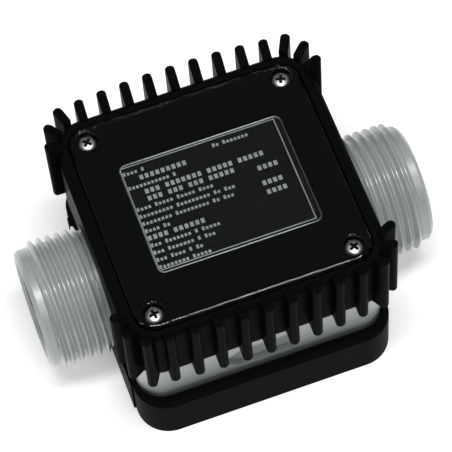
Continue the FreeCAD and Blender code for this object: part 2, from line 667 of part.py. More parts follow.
def make_finned_cover():
    """The black cover: skirt, deck, raised strips, and fins whose tops rise from the ledge."""
    body = new_body("finned_cover")
    height = f"ledge_top - {SKIRT_BOTTOM}"
    pad(body, "Shell", Outline(body, "ShellPlan", "XY_Plane", SKIRT_BOTTOM)
        .rounded_box("(cover_length / 2)", "(cover_width / 2)", "cover_corner"), height)
    pad(body, "Strips", Outline(body, "StripPlan", "XY_Plane", SKIRT_BOTTOM)
        .box("cover_length / 2 + strip_proud", "strip_width / 2"), height)
    edge_finish(body, "Chamfer", "LedgeBevel", "ledge_bevel", flat_at("ledge_top"))
    plan = Outline(body, "FinPlan", "XY_Plane", f"{SKIRT_BOTTOM} - fin_drop")
    for step in STRAIGHT_STEPS:
        x = f"{step} * (cover_length / 2 - last_fin_inset) / {STRAIGHT_STEPS[-1]}"
        root = "(skirt_side_wall / 2 - cover_width / 2)"
        tip = f"(({x})^2 / (2 * fin_bow) - cover_width / 2 - fin_proud)"
        plan.finger((x, root), (x, tip), ("0", "-1"), "fin_thick", "fin_crown")
    for angle in FAN_ANGLES:
        dx, dy = f"sin({angle} deg)", f"-cos({angle} deg)"
        places = [(f"{FAN_X} + {reach} * {dx}", f"-{FAN_Y} + {reach} * ({dy})")
                  for reach in ("fan_root", "fan_reach")]
        plan.finger(*places, (dx, dy), "fin_thick", "fin_crown")
    fins = pad(body, "QuarterFins", plan, f"ledge_top + fin_rise - {SKIRT_BOTTOM} + fin_drop")
    mirrored_both_ways(body, "Fins", fins)
    funnel = [Outline(body, f"Funnel{name}", "XY_Plane", level)
              .rounded_box(f"({FAN_X} + {radius})", f"({FAN_Y} + {radius})", radius).sketch
              for name, level, radius in (("Foot", "ledge_top", "funnel_start"),
                                          ("Mouth", "ledge_top + fin_rise", "funnel_end"))]
    settle(body, feature(body, "SubtractiveLoft", "FinTops", Profile=(funnel[0], [""]),
                         Sections=[(funnel[1], [""])], Ruled=True), grows=False)
    pocket(body, "LensRecess", Outline(body, "LensRecessPlan", "XY_Plane", "ledge_top")
           .rounded_box(f"({LENS_X} + lens_gap)", f"({LENS_Y} + lens_gap)",
                        "(lens_corner + lens_gap)"), "lens_sink")
    pocket(body, "SealGroove", Outline(body, "SealGroovePlan", "XY_Plane", RECESS_FLOOR)
           .ring(f"({LENS_X} - lens_seal_inset)", f"({LENS_Y} - lens_seal_inset)",
                 "(lens_corner - lens_seal_inset)", "lens_seal_width"), "lens_seal_depth")
    pocket(body, "LabelRecess", Outline(body, "LabelRecessPlan", "XY_Plane", RECESS_FLOOR)
           .rounded_box("(label_length / 2 + label_gap)", "(label_width / 2 + label_gap)",
                        "(label_corner + label_gap)", "label_shift_x", "label_shift_y"),
           "label_thick + label_gap")
    pocket(body, "SkirtInside", Outline(body, "SkirtInsidePlan", "XY_Plane", RIM_BOTTOM)
           .rounded_box(SKIRT_IN_X, SKIRT_IN_Y, SKIRT_IN_R), f"{RIM_BOTTOM} - {SKIRT_BOTTOM}")
    pocket(body, "Cavity", Outline(body, "CavityPlan", "XY_Plane", DECK_UNDER)
           .rounded_box(CAVITY_X, CAVITY_Y, CAVITY_R), f"{DECK_UNDER} - {RIM_BOTTOM}")
    pad(body, "Bosses", at_corners(Outline(body, "BossPlan", "XY_Plane", "body_top"),
                                   "boss_radius", SCREW_PITCH), f"{DECK_UNDER} - body_top")
    pocket(body, "ScrewHoles", at_corners(
        Outline(body, "ScrewHolePlan", "XY_Plane", RECESS_FLOOR),
        "screw_radius + screw_gap", SCREW_PITCH), f"{RECESS_FLOOR} - body_top + 1")
    port_arches(body, f"{SPIGOT_X} - skirt_gap", "cover_length / 2 + strip_proud + 1")
    return body


def make_lens_seal():
    """The rubber cord in the deck's groove under the lens."""
    body = new_body("lens_seal")
    pad(body, "Seal", Outline(body, "SealPlan", "XY_Plane", f"{RECESS_FLOOR} - lens_seal_depth")
        .ring(f"({LENS_X} - lens_seal_inset)", f"({LENS_Y} - lens_seal_inset)",
              "(lens_corner - lens_seal_inset)", "lens_seal_width"), "lens_seal_depth")
    return body


def make_label_plate():
    """The plain label plate under the lens."""
    body = new_body("label_plate")
    pad(body, "Plate", Outline(body, "PlatePlan", "XY_Plane",
                               f"{RECESS_FLOOR} - label_thick - label_gap")
        .rounded_box("(label_length / 2)", "(label_width / 2)", "label_corner",
                     "label_shift_x", "label_shift_y"), "label_thick")
    return body


def make_front_lens():
    """The clear plate with a bevelled edge and a recess round each screw."""
    body = new_body("front_lens")
    pad(body, "Plate", Outline(body, "PlatePlan", "XY_Plane", RECESS_FLOOR)
        .rounded_box(LENS_X, LENS_Y, "lens_corner"), "lens_thick")
    edge_finish(body, "Chamfer", "Bevel", "lens_chamfer", flat_at(LENS_TOP))
    pocket(body, "HeadRecesses", at_corners(Outline(body, "RecessPlan", "XY_Plane", LENS_TOP),
                                            "head_recess", SCREW_PITCH), "recess_depth")
    pocket(body, "ScrewHoles", at_corners(Outline(body, "HolePlan", "XY_Plane", LENS_TOP),
                                          "screw_radius + screw_gap", SCREW_PITCH),
           "lens_thick")
    return body


def make_screws(label, seat, head, head_height, shank, length, pitch, upward=False):
    """Four equal pan-head screws on a rectangle; the heads sit on the seat's height."""
    body = new_body(label)
    shank_foot = seat if upward else f"({seat} - {length})"
    pad(body, "Shanks", at_corners(Outline(body, "ShankPlan", "XY_Plane", shank_foot),
                                   shank, pitch), length)
    head_foot = f"({seat} - {head_height})" if upward else seat
    pad(body, "Heads", at_corners(Outline(body, "HeadPlan", "XY_Plane", head_foot),
                                  head, pitch), head_height)
    return body


def make_brass_inserts():
    """The four threaded inserts in the body's corners."""
    body = new_body("brass_inserts")
    outline = Outline(body, "InsertPlan", "XY_Plane", "body_top - insert_length")
    at_corners(outline, "insert_radius", SCREW_PITCH)
    at_corners(outline, "screw_radius + press_play", SCREW_PITCH)
    pad(body, "Inserts", outline, "insert_length")
    return body


# ---------------------------------------------------------------------------------------------
# Base
# ---------------------------------------------------------------------------------------------
def make_base_cover():
    """The black tray under the body, with notches for the ports and a rounded rim."""
    body = new_body("base_cover")
    rim = "(base_height - axis_height)"
    pad(body, "Tray", Outline(body, "TrayPlan", "XY_Plane", "-axis_height")
        .rounded_box(BASE_X, BASE_Y, "base_corner"), "base_height")
    edge_finish(body, "Chamfer", "Rim", "base_bevel", flat_at(rim))
    pad(body, "EndPads", Outline(body, "EndPadPlan", "XY_Plane", "-axis_height")
        .box(f"{BASE_X} + pad_proud", "pad_width / 2"), "base_height - base_bevel")
    pocket(body, "Inside", Outline(body, "InsidePlan", "XY_Plane", rim)
           .rounded_box(f"({BODY_END} + base_end_gap)", f"({BODY_SIDE} + base_side_gap)",
                        "(body_corner + base_end_gap)"), "base_height - base_floor")
    port_arches(body, f"{BODY_END} - 1", f"{BASE_X} + pad_proud + 1")
    pocket(body, "Counterbores", at_corners(
        Outline(body, "CounterborePlan", "XY_Plane", "-axis_height"),
        "base_screw_head + counterbore_gap", SCREW_PITCH), "counterbore_depth", ahead=True)
    pocket(body, "ScrewHoles", at_corners(
        Outline(body, "ScrewHolePlan", "XY_Plane", "-axis_height"),
        "base_screw_radius + screw_gap", SCREW_PITCH), "base_floor", ahead=True)
    return body


# ---------------------------------------------------------------------------------------------
# Dry compartment: board, reed switch, terminal block, cable grommet
# ---------------------------------------------------------------------------------------------
def make_circuit_board():
    """The board, screwed component side down on its posts."""
    body = new_body("circuit_board")
    outline = Outline(body, "BoardPlan", "XY_Plane", BOARD_UNDER)
    outline.box("post_span_x / 2 + board_margin_x", "post_span_y / 2 + board_margin_y")
    at_corners(outline, "board_screw_radius + screw_gap", POST_PITCH)
    pad(body, "Board", outline, "board_thick")
    return body


def make_reed_switch():
    """The glass reed capsule with its two leads, along the flow under the board."""
    body = new_body("reed_switch")
    height = f"axis_height + {BOARD_UNDER} - reed_gap - reed_radius"
    body.Placement = Placement(Vector(0, 0, amount(height)), Rotation())
    bind(body, "Placement.Base.z", height)
    end, lead = "(reed_length / 2)", "(reed_radius / 4)"
    reach = "(reed_length / 2 + 2 * reed_radius)"
    right = [(reach, "0"), (reach, lead), (end, lead), (f"{end} - {lead}", "reed_radius")]
    left = [(f"-{x}" if x.startswith("(") else x, r) for x, r in right]
    left[3] = (f"{lead} - {end}", "reed_radius")
    turned(body, "Revolution", "Capsule", Outline(body, "CapsuleProfile", "XZ_Plane")
           .polygon(right + left[::-1]), "X_Axis")
    return body


def make_terminal_block():
    """The two-way terminal block that hangs from the board into the wire pocket."""
    body = new_body("terminal_block")
    back = f"({POCKET_BACK} - terminal_setback)"
    pad(body, "Block", Outline(body, "BlockPlan", "XY_Plane", f"{BOARD_UNDER} - terminal_height")
        .box("terminal_length / 2", "terminal_width / 2", y=f"{back} - terminal_width / 2"),
        "terminal_height")
    wires = Outline(body, "WireHoles", "XZ_Plane", f"-{back}")
    screws = Outline(body, "ScrewWells", "XY_Plane", f"{BOARD_UNDER} - terminal_height")
    for sign in (-1, 1):
        wires.circle("terminal_length / 8", f"{sign} * terminal_length / 4",
                     f"{BOARD_UNDER} - terminal_height * 2 / 3")
        screws.circle("terminal_length / 6", f"{sign} * terminal_length / 4",
                      f"{back} - terminal_width / 2")
    pocket(body, "Wires", wires, "terminal_width / 2", ahead=True)
    pocket(body, "Screws", screws, "terminal_height / 4", ahead=True)
    return body


def make_cable_grommet():
    """The blind rubber grommet in the cable entry, held by its flange and its bead."""
    body = new_body("cable_grommet")
    height = "axis_height + entry_height"
    body.Placement = Placement(Vector(0, 0, amount(height)), Rotation())
    bind(body, "Placement.Base.z", height)
    inside, outside = POCKET_BACK, BODY_SIDE
    neck = "(entry_radius - press_play)"
    profile = [(f"{inside} - grommet_inner", "0"),
               (f"{inside} - grommet_inner", f"{neck} - grommet_inner / 2"),
               (inside, "grommet_bead"), (inside, neck), (outside, neck),
               (outside, "grommet_flange"),
               (f"{outside} + grommet_thick", "grommet_flange - grommet_thick / 2"),
               (f"{outside} + grommet_thick", "0")]
    turned(body, "Revolution", "Grommet", Outline(body, "GrommetProfile", "YZ_Plane")
           .polygon(profile), "Y_Axis")
    return body


# ---------------------------------------------------------------------------------------------
# Build, check and write every sub-part
# ---------------------------------------------------------------------------------------------
SUBPARTS = [
    make_meter_body(),
    make_straightener("inlet_straightener", -1),
    make_straightener("outlet_straightener", 1),
    make_bush("inlet_bush", -1),
    make_bush("outlet_bush", 1),
    make_retaining_ring("inlet_retaining_ring", -1),
    make_retaining_ring("outlet_retaining_ring", 1),
    make_rotor(),
    make_rotor_shaft(),
    make_rotor_magnets(),
    make_body_seal(),
    make_finned_cover(),
    make_lens_seal(),
    make_label_plate(),
    make_front_lens(),
    make_screws("lens_screws", HEAD_SEAT, "screw_head", "head_height", "screw_radius",
                "screw_length", SCREW_PITCH),
    make_brass_inserts(),
    make_base_cover(),
    make_screws("base_screws", "(counterbore_depth - axis_height)", "base_screw_head",
                "base_head_height", "base_screw_radius",
                "(base_floor - counterbore_depth + base_screw_grip)", SCREW_PITCH,
                upward=True),
    make_circuit_board(),
    make_screws("board_screws", f"({BOARD_UNDER} + board_thick)", "board_screw_head",
                "board_head_height", "board_screw_radius", "(board_thick + board_screw_grip)",
                POST_PITCH),
    make_reed_switch(),
    make_terminal_block(),
    make_cable_grommet(),
]

doc.recompute()
for item in doc.Objects:
    if "Invalid" in item.State or "Error" in item.State:
        raise RuntimeError(f"{item.Label} is {item.State}")
for body in SUBPARTS:
    if body.Shape.isNull() or not body.Shape.isValid() or not body.Shape.Solids:
        raise RuntimeError(f"{body.Label} has no valid solid")

os.makedirs("parts", exist_ok=True)
for body in SUBPARTS:
    body.Shape.exportStep(f"parts/{body.Label}.step")
    box = body.Shape.BoundBox
    print(f"{body.Label}: {len(body.Shape.Solids)} solid(s), {body.Shape.Volume:.1f} mm3, "
          f"x {box.XMin:.2f}..{box.XMax:.2f}, y {box.YMin:.2f}..{box.YMax:.2f}, "
          f"z {box.ZMin:.2f}..{box.ZMax:.2f}")
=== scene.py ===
"""Dressed model of an in-line turbine flow meter with 1 inch threaded ports.

A grey moulded body carries a finned black cover and stands in a black base tray. The cover's
clear front plate is printed black behind, with a window over the label. Inside the ports are
the flow straighteners and the spinning turbine.
"""

import json
import logging
import math
from dataclasses import dataclass
from enum import Enum
from typing import Iterable, Optional

import bmesh
import bpy
from mathutils import Matrix, Vector


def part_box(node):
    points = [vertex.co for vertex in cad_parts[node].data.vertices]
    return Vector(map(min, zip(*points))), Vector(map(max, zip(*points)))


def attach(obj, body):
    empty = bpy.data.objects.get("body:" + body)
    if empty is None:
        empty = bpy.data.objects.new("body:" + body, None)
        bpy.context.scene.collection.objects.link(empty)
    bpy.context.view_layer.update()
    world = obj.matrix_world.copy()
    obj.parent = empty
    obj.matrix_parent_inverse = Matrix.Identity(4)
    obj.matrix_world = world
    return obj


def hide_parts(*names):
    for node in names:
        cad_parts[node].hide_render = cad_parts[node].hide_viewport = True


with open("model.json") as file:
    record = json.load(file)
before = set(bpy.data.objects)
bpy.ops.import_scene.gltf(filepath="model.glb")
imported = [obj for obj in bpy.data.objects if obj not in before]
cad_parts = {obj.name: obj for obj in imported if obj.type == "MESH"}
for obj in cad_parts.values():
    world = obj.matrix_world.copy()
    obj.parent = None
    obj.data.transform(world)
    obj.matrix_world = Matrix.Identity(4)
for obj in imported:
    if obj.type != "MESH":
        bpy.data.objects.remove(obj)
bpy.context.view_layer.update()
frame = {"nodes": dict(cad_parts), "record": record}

log = logging.getLogger("flow_meter")

MM = 0.001
UM = 0.001 * MM
HOUSING = "meter"
TURBINE = "rotor"
WELD = 1 * UM
FLAT_ANGLE = math.radians(0.4)
SMOOTH_ANGLE = math.radians(32.0)
# where nearly all of a noise lies, and how a turned grain is stretched along Z
NOISE_MIDDLE = {"From Min": 0.3, "From Max": 0.7}
DRAWN_OUT = (1.0, 1.0, 0.08)


def middle_of(node: str) -> Vector:
    """The middle of a solid's box.

    Args:
        node: The solid's name.

    Returns:
        The middle.
    """
    low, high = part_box(node)
    return (low + high) / 2


AXIS_HEIGHT = middle_of("rotor_shaft").z


# ---------------------------------------------------------------------------------------------
# Finishes
# ---------------------------------------------------------------------------------------------
class Surface(Enum):
    """How a surface was made. A turned one has a drawn-out grain, the others an even one."""

    MOULDED = "moulded"
    POLISHED = "polished"
    TURNED = "turned"
    PRINTED = "printed"


def linear(hex_colour: str) -> tuple[float, float, float, float]:
    """Turn an sRGB hex colour into linear values.

    Args:
        hex_colour: A colour such as "#B4BABA".

    Returns:
        Red, green, blue and alpha, linear.
    """
    def channel(pair: str) -> float:
        """One channel from its two hex digits."""
        value = int(pair, 16) / 255
        return value / 12.92 if value <= 0.04045 else ((value + 0.055) / 1.055) ** 2.4

    digits = hex_colour.lstrip("#")
    return (*(channel(digits[i:i + 2]) for i in (0, 2, 4)), 1.0)


def add_node(tree: bpy.types.NodeTree, kind: str, values: Optional[dict] = None,
             links: Optional[dict] = None, **settings: object) -> bpy.types.Node:
    """Add a node with its settings, socket values and incoming links.

    Args:
        tree: The node tree that gets the node.
        kind: The node's type name.
        values: Constants by input socket.
        links: Output sockets of other nodes by input socket.
        settings: Properties of the node itself.

    Returns:
        The new node.
    """
    node = tree.nodes.new(kind)
    for name, value in settings.items():
        setattr(node, name, value)
    for socket, value in (values or {}).items():
        node.inputs[socket].default_value = value
    for socket, source in (links or {}).items():
        tree.links.new(source, node.inputs[socket])
    return node


@dataclass(frozen=True)
class Finish:
    """A material: what it is, how its surface was made and what that gives the eye.

    The grain is the fine texture, which roughens and bumps the surface. The real one is some
    hundredths of a millimetre, so it is drawn as coarse as it needs to show. The patches are
    broad, faint changes of shade.
    """

    name: str
    colour: str
    roughness: float
    surface: Surface = Surface.MOULDED
    metallic: float = 0.0
    ior: float = 1.5
    grain_size: float = 0.4 * MM
    grain_depth: float = 4 * UM
    uneven: float = 0.05
    patch_size: float = 14 * MM
    patch_shade: float = 0.06
    coat: float = 0.0
    coat_roughness: float = 0.13
    specular: float = 0.5
    transmission: float = 0.0
    emission: float = 0.0

    def material(self) -> bpy.types.Material:
        """Build the node material, or find it if it was built already.

        Returns:
            The material.
        """
        known = bpy.data.materials.get(self.name)
        if known:
            return known
        material = bpy.data.materials.new(self.name)
        material.use_nodes = True
        tree = material.node_tree
        tree.nodes.clear()
        place = add_node(tree, "ShaderNodeTexCoord").outputs["Object"]
        if self.surface is Surface.TURNED:
            place = add_node(tree, "ShaderNodeMapping", {"Scale": DRAWN_OUT},
                             {"Vector": place}).outputs["Vector"]
        grain = add_node(tree, "ShaderNodeTexNoise",
                         {"Scale": 1.0 / self.grain_size, "Detail": 3.0, "Roughness": 0.55},
                         {"Vector": place})
        patches = add_node(tree, "ShaderNodeTexNoise",
                           {"Scale": 1.0 / self.patch_size, "Detail": 2.0}, {"Vector": place})
        shade = add_node(tree, "ShaderNodeMapRange",
                         {**NOISE_MIDDLE, "To Min": 1.0 - self.patch_shade,
                          "To Max": 1.0 + self.patch_shade},
                         {"Value": patches.outputs["Fac"]})
        colour = add_node(tree, "ShaderNodeVectorMath", {0: linear(self.colour)[:3]},
                          {3: shade.outputs["Result"]}, operation="SCALE")
        sheen = add_node(tree, "ShaderNodeMapRange",
                         {**NOISE_MIDDLE, "To Min": max(self.roughness - self.uneven, 0.02),
                          "To Max": min(self.roughness + self.uneven, 1.0)},
                         {"Value": grain.outputs["Fac"]})
        inputs = {"Base Color": colour.outputs["Vector"], "Roughness": sheen.outputs["Result"]}
        if self.grain_depth:
            bump = add_node(tree, "ShaderNodeBump",
                            {"Strength": 1.0, "Distance": self.grain_depth},
                            {"Height": grain.outputs["Fac"]})
            inputs["Normal"] = bump.outputs["Normal"]
        shader = add_node(tree, "ShaderNodeBsdfPrincipled",
                          {"Metallic": self.metallic, "IOR": self.ior,
                           "Emission Color": linear("#FFFFFF"),
                           "Emission Strength": self.emission,
                           "Coat Weight": self.coat, "Coat Roughness": self.coat_roughness,
                           "Transmission Weight": self.transmission,
                           "Specular IOR Level": self.specular},
                          inputs)
        add_node(tree, "ShaderNodeOutputMaterial", links={"Surface": shader.outputs["BSDF"]})
        return material


@dataclass(frozen=True)
class Finishes:
    """Every finish on the meter, by the part that wears it."""

    # glass-filled polyamide, light grey with a soft gloss
    body: Finish = Finish("glass_filled_polyamide_grey", "#989E9E", 0.38, grain_size=0.9 * MM,
                          grain_depth=6 * UM, coat=1.0, coat_roughness=0.34, patch_shade=0.04)
    # the same where the tool is polished, round the threads
    thread: Finish = Finish("glass_filled_polyamide_polished", "#989E9E", 0.38,
                            grain_size=0.9 * MM, grain_depth=6 * UM, coat=1.0,
                            patch_shade=0.04)
    # black polyamide from a spark-eroded tool: satin, its edges catch a grey light
    cover: Finish = Finish("black_polyamide_satin", "#0B0C0C", 0.34, specular=0.006,
                           grain_size=0.35 * MM, grain_depth=5 * UM)
    # the same black, a little duller
    base: Finish = Finish("black_polyamide_matt", "#0E0F0F", 0.40, specular=0.006,
                          grain_size=0.35 * MM, grain_depth=6 * UM)
    # clear acrylic, cast and machined: sharp reflections, a bright edge
    plate: Finish = Finish("clear_acrylic", "#F2F6F4", 0.03, Surface.POLISHED, ior=1.49,
                           transmission=1.0, uneven=0.01, grain_depth=0.0,
                           patch_shade=0.0)
    # black screen print behind the acrylic: even and dull
    backing: Finish = Finish("black_screen_print", "#070909", 0.6, Surface.PRINTED,
                             grain_depth=0.0, specular=0.0)
    # anodised aluminium label, dyed black
    label: Finish = Finish("black_anodised_aluminium", "#040404", 0.45, Surface.PRINTED,
                           grain_depth=0.0, specular=0.1)
    # the label's print: silver-grey ink
    ink: Finish = Finish("silver_grey_ink", "#B9C0C2", 0.5, Surface.PRINTED,
                         grain_depth=1 * UM)
    # the label's sheared edge: bare aluminium
    cut_edge: Finish = Finish("sheared_aluminium", "#C9CDCE", 0.3, metallic=1.0,
                              grain_size=0.3 * MM, grain_depth=2 * UM)
    # stainless steel, cold headed and tumbled: bright, with soft scratches
    screw: Finish = Finish("stainless_steel_tumbled", "#CFCFCB", 0.42, Surface.TURNED,
                           metallic=1.0, grain_size=0.3 * MM, grain_depth=3 * UM, uneven=0.08)
    # painted shade: the dull black on the walls and floor of the cross recess stands in for
    # the shade inside it
    recess: Finish = Finish("dull_recess_steel", "#161615", 0.7, grain_size=0.2 * MM,
                            grain_depth=4 * UM, specular=0.1)
    # zinc-plated steel screws inside
    zinc: Finish = Finish("zinc_plated_steel", "#B9BDC2", 0.33, Surface.TURNED, metallic=1.0,
                          grain_size=0.3 * MM, grain_depth=3 * UM)
    # acetal, moulded: white and waxy
    acetal: Finish = Finish("white_acetal", "#E6E6DE", 0.38, grain_size=0.5 * MM,
                            grain_depth=3 * UM, patch_shade=0.03)
    # carbon-filled acetal bushes: dark grey, low sheen
    bush: Finish = Finish("graphite_filled_acetal", "#3A3B3D", 0.5, grain_size=0.2 * MM)
    # natural polyphenylene sulphide: ivory brown
    turbine: Finish = Finish("polyphenylene_sulphide_ivory", "#CDBFA2", 0.36,
                             grain_size=0.4 * MM)
    # stainless steel, ground: a near mirror with fine lines
    shaft: Finish = Finish("ground_stainless_shaft", "#C4C6C8", 0.16, Surface.TURNED,
                           metallic=1.0, grain_size=0.12 * MM, grain_depth=1 * UM)
    # spring steel, rolled and blued: dark, with a cold sheen
    spring: Finish = Finish("blued_spring_steel", "#70747A", 0.34, Surface.TURNED,
                            metallic=1.0, grain_size=0.2 * MM, grain_depth=2 * UM)
    # ferrite, pressed and sintered: dull dark grey
    ferrite: Finish = Finish("sintered_ferrite", "#2B2B2C", 0.62, grain_size=0.15 * MM,
                             grain_depth=8 * UM)
    # nitrile rubber, moulded: black, with hardly a sheen
    rubber: Finish = Finish("nitrile_rubber_black", "#101010", 0.72, grain_size=0.25 * MM,
                            grain_depth=8 * UM)
    # brass, turned and knurled: yellow and bright
    brass: Finish = Finish("knurled_brass", "#C8A45A", 0.3, Surface.TURNED, metallic=1.0,
                           grain_size=0.3 * MM, grain_depth=5 * UM)
    # glass epoxy under solder resist: dark green with a thin gloss
    board: Finish = Finish("glass_epoxy_green", "#1E5A38", 0.34, grain_size=0.6 * MM,
                           grain_depth=6 * UM, coat=0.2)
    # soft glass, drawn and sealed: smooth, pale green
    glass: Finish = Finish("soft_glass_green", "#7FA089", 0.08, Surface.POLISHED, ior=1.52,
                           grain_depth=1 * UM)
    # polyamide, moulded: green, half dull
    terminal: Finish = Finish("polyamide_terminal_green", "#2E7D4C", 0.42)
    # a lit white sweep, so that the shadows stay soft
    floor: Finish = Finish("white_studio_sweep", "#F4F4F4", 0.8, Surface.PRINTED,
                           grain_size=40 * MM, grain_depth=1 * UM, patch_shade=0.0,
                           emission=0.32)


FINISH = Finishes()


# ---------------------------------------------------------------------------------------------
# Making pieces
# ---------------------------------------------------------------------------------------------
@dataclass(frozen=True)
class EdgeBreak:
    """The small round of a moulded or machined edge, where faces meet over an angle."""

    width: float
    segments: int = 2
    over_angle: float = SMOOTH_ANGLE


def new_piece(name: str, bm: bmesh.types.BMesh, finish: Finish,
              body: str = HOUSING, replaces: Iterable[str] = (),
              edge: Optional[EdgeBreak] = None) -> bpy.types.Object:
    """Turn a bmesh into a piece of the meter.

    Args:
        name: The piece's name.
        bm: Its shape, in metres, in place. It is freed.
        finish: What it is made of.
        body: The body that it rides on.
        replaces: The solids that it stands for.
        edge: The round on its edges, if it has one.

    Returns:
        The piece's object.
    """
    mesh = bpy.data.meshes.new(name)
    bm.to_mesh(mesh)
    bm.free()
    # a solid's own normals no longer fit once its faces are merged
    if mesh.has_custom_normals:
        mesh.attributes.remove(mesh.attributes["custom_normal"])
    piece = bpy.data.objects.new(name, mesh)
    bpy.context.scene.collection.objects.link(piece)
    mesh.materials.append(finish.material())
    mesh.shade_smooth()
    if edge:
        bevel = piece.modifiers.new("edge_break", "BEVEL")
        bevel.width = edge.width
        bevel.segments = edge.segments
        bevel.limit_method = "ANGLE"
        bevel.angle_limit = edge.over_angle
        bevel.use_clamp_overlap = True
        bevel.harden_normals = True
        bevel.miter_outer = "MITER_ARC"
    else:
        mesh.set_sharp_from_angle(angle=SMOOTH_ANGLE)
    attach(piece, body)
    for node in replaces:
        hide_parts(node)
    log.info("%s: %d faces on %s", name, len(mesh.polygons), body)
    return piece


def solid_copy(node: str) -> bmesh.types.BMesh:
    """A welded copy of a solid, its flat faces made whole, as a bevel needs.

    Args:
        node: The solid's name.

    Returns:
        The copy, in place.
    """
    bm = bmesh.new()
    bm.from_mesh(frame["nodes"][node].data)
    bmesh.ops.remove_doubles(bm, verts=bm.verts, dist=WELD)
    bmesh.ops.dissolve_limit(bm, angle_limit=FLAT_ANGLE, verts=bm.verts, edges=bm.edges,
                             use_dissolve_boundaries=False)
    bmesh.ops.recalc_face_normals(bm, faces=bm.faces)
    return bm


def verts_in(geom: Iterable) -> list[bmesh.types.BMVert]:
    """Pick the vertices from what an operator made.

    Args:
        geom: Vertices, edges and faces.

    Returns:
        The vertices.
    """
    return [item for item in geom if isinstance(item, bmesh.types.BMVert)]


def chain(bm: bmesh.types.BMesh, points: list[tuple[float, float, float]]) -> list:
    """Add a chain of edges through points.

    Args:
        bm: The mesh that gets the chain.
        points: Its corners.

    Returns:
        The chain's vertices and edges.
    """
    verts = [bm.verts.new(point) for point in points]
    return verts + [bm.edges.new(pair) for pair in zip(verts, verts[1:])]


def turned(bm: bmesh.types.BMesh, points: list[tuple[float, float, float]],
           steps: int) -> None:
    """Spin an open profile a full circle round the Z axis and close it.

    Args:
        bm: The mesh that gets the turned shape.
        points: The profile; its ends lie on the axis.
        steps: Divisions of the circle.
    """
    geom = chain(bm, points)
    bmesh.ops.spin(bm, geom=geom, cent=(0, 0, 0), axis=(0, 0, 1), angle=math.tau, steps=steps,
                   use_merge=True)
    bmesh.ops.remove_doubles(bm, verts=bm.verts, dist=WELD)
    bmesh.ops.recalc_face_normals(bm, faces=bm.faces)


def rounded_sheet(bm: bmesh.types.BMesh, node: str, level: float, corner: float,
                  inset: float = 0.0) -> bmesh.types.BMFace:
    """Add one level face with round corners, as long and wide as a solid.

    Args:
        bm: The mesh that gets the face.
        node: The solid's name.
        level: The face's height.
        corner: The radius of its corners.
        inset: How much smaller it is all round.

    Returns:
        The face.
    """
    low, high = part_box(node)
    middle = middle_of(node)
    made = bmesh.ops.create_grid(bm, x_segments=1, y_segments=1, size=1.0)["verts"]
    bmesh.ops.scale(bm, verts=made, vec=((high.x - low.x) / 2 - inset,
                                         (high.y - low.y) / 2 - inset, 1.0))
    bmesh.ops.translate(bm, verts=made, vec=(middle.x, middle.y, level))
    rounded = bmesh.ops.bevel(bm, geom=made, offset=corner, segments=6, profile=0.5,
                              affect="VERTICES", material=-1)
    return rounded["verts"][0].link_faces[0]


def subtract(bm: bmesh.types.BMesh, cutter: bmesh.types.BMesh) -> None:
    """Cut one mesh out of another with an exact boolean.

    Args:
        bm: The mesh that is cut.
        cutter: What is taken away. It is freed.
    """
    holders = []
    for name, source in (("cut_piece", bm), ("cut_tool", cutter)):
        mesh = bpy.data.meshes.new(name)
        source.to_mesh(mesh)
        holders.append(bpy.data.objects.new(name, mesh))
        bpy.context.scene.collection.objects.link(holders[-1])
    cutter.free()
    piece, tool = holders
    cut = piece.modifiers.new("cut", "BOOLEAN")
    cut.operation = "DIFFERENCE"
    cut.solver = "EXACT"
    cut.object = tool
    result = bpy.data.meshes.new_from_object(
        piece.evaluated_get(bpy.context.evaluated_depsgraph_get()))
    bm.clear()
    bm.from_mesh(result)
    bpy.data.meshes.remove(result)
    for holder in holders:
        mesh = holder.data
        bpy.data.objects.remove(holder)
        bpy.data.meshes.remove(mesh)


def dress(nodes: Iterable[str], finish: Finish) -> None:
    """Give a finish to solids that are shown as they are.

    Args:
        nodes: The solids' names.
        finish: What they are made of.
    """
    for name in nodes:
        mesh = frame["nodes"][name].data
        mesh.materials.clear()
        mesh.materials.append(finish.material())
        log.info("%s dressed as %s", name, finish.name)


# ---------------------------------------------------------------------------------------------
# Body and ports
# ---------------------------------------------------------------------------------------------
class Side(Enum):
    """Which end of the meter, as its direction along the flow."""

    INLET = -1
    OUTLET = 1


